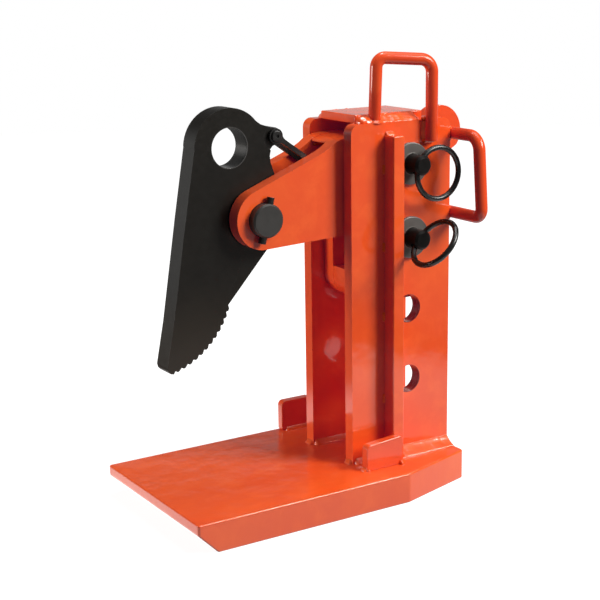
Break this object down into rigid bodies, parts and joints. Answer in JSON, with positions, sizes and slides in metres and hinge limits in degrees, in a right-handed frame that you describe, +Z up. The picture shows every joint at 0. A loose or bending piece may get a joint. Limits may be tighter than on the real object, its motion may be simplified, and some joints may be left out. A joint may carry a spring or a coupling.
{
  "type": "plate lifting clamp",
  "caption": "Adjustable clamp for lifting stacked steel plates: flat base, upright post with pin holes, height-set jaw arm and a pivoting toothed cam with a lifting eye.",
  "frame": {"origin": "underside of the base plate, on the middle plane of the post, level with the front edges of the upright side plates", "axes": "+X forward out of the open jaw, +Y to the left side where the locking pins are pulled, +Z up"},
  "size_m": [0.3619, 0.2062, 0.4335],
  "materials": {
    "paint": "glossy orange-red enamel",
    "cam_black": "semi-gloss black",
    "black_oxide": "black oxide",
    "plain_steel": "plain steel, lightly oiled"
  },
  "bodies": {
    "frame": {"base_plate": "paint", "side_plate_left": "paint", "side_plate_right": "paint", "top_plate": "paint", "rear_tie_plate": "paint", "guard_bar_left": "paint", "guard_bar_right": "paint", "stop_plate_left": "paint", "stop_plate_right": "paint", "top_handle": "paint", "rear_handle": "paint", "rear_lug": "paint", "arm_plate_left": "paint", "arm_plate_right": "paint", "arm_upper_block": "paint", "arm_lower_block": "paint", "link_guide_pin": "black_oxide", "pivot_pin": "black_oxide", "roll_pin_left": "black_oxide", "roll_pin_right": "black_oxide", "pivot_washer_left": "plain_steel", "pivot_washer_right": "plain_steel"},
    "cam": {"cam_lever": "cam_black", "link_bolt": "black_oxide"},
    "link": {"link_strap_left": "black_oxide", "link_strap_right": "black_oxide", "link_tail_pin": "black_oxide"},
    "upper_pin": {"locking_pin_upper": "black_oxide"},
    "upper_ring": {"pull_ring_upper": "black_oxide"},
    "lower_pin": {"locking_pin_lower": "black_oxide"},
    "lower_ring": {"pull_ring_lower": "black_oxide"}
  },
  "joints": [
    {"name": "cam_pivot", "type": "hinge", "parent": "frame", "child": "cam", "pos_m": [0.0882, 0, 0.2845], "axis": [0, 1, 0], "range_deg": [-8, 45]},
    {"name": "link_hinge", "type": "hinge", "parent": "cam", "child": "link", "pos_m": [0.0639, 0, 0.359], "axis": [0, 1, 0], "range_deg": [-29, 6]},
    {"name": "upper_pin_pull", "type": "slide", "parent": "frame", "child": "upper_pin", "axis": [0, 1, 0], "range_m": [0, 0.1]},
    {"name": "upper_ring_swing", "type": "hinge", "parent": "upper_pin", "child": "upper_ring", "pos_m": [-0.068, 0.0595, 0.3256], "axis": [0.4039, 0, -0.9148], "range_deg": [-8, 150]},
    {"name": "lower_pin_pull", "type": "slide", "parent": "frame", "child": "lower_pin", "axis": [0, 1, 0], "range_m": [0, 0.1]},
    {"name": "lower_ring_swing", "type": "hinge", "parent": "lower_pin", "child": "lower_ring", "pos_m": [-0.068, 0.0595, 0.253], "axis": [-0.6521, 0, 0.7581], "range_deg": [-60, 96]}
  ],
  "couplings": [
    {"joint": "link_hinge", "follows": "cam_pivot", "ratio": -0.613}
  ]
}
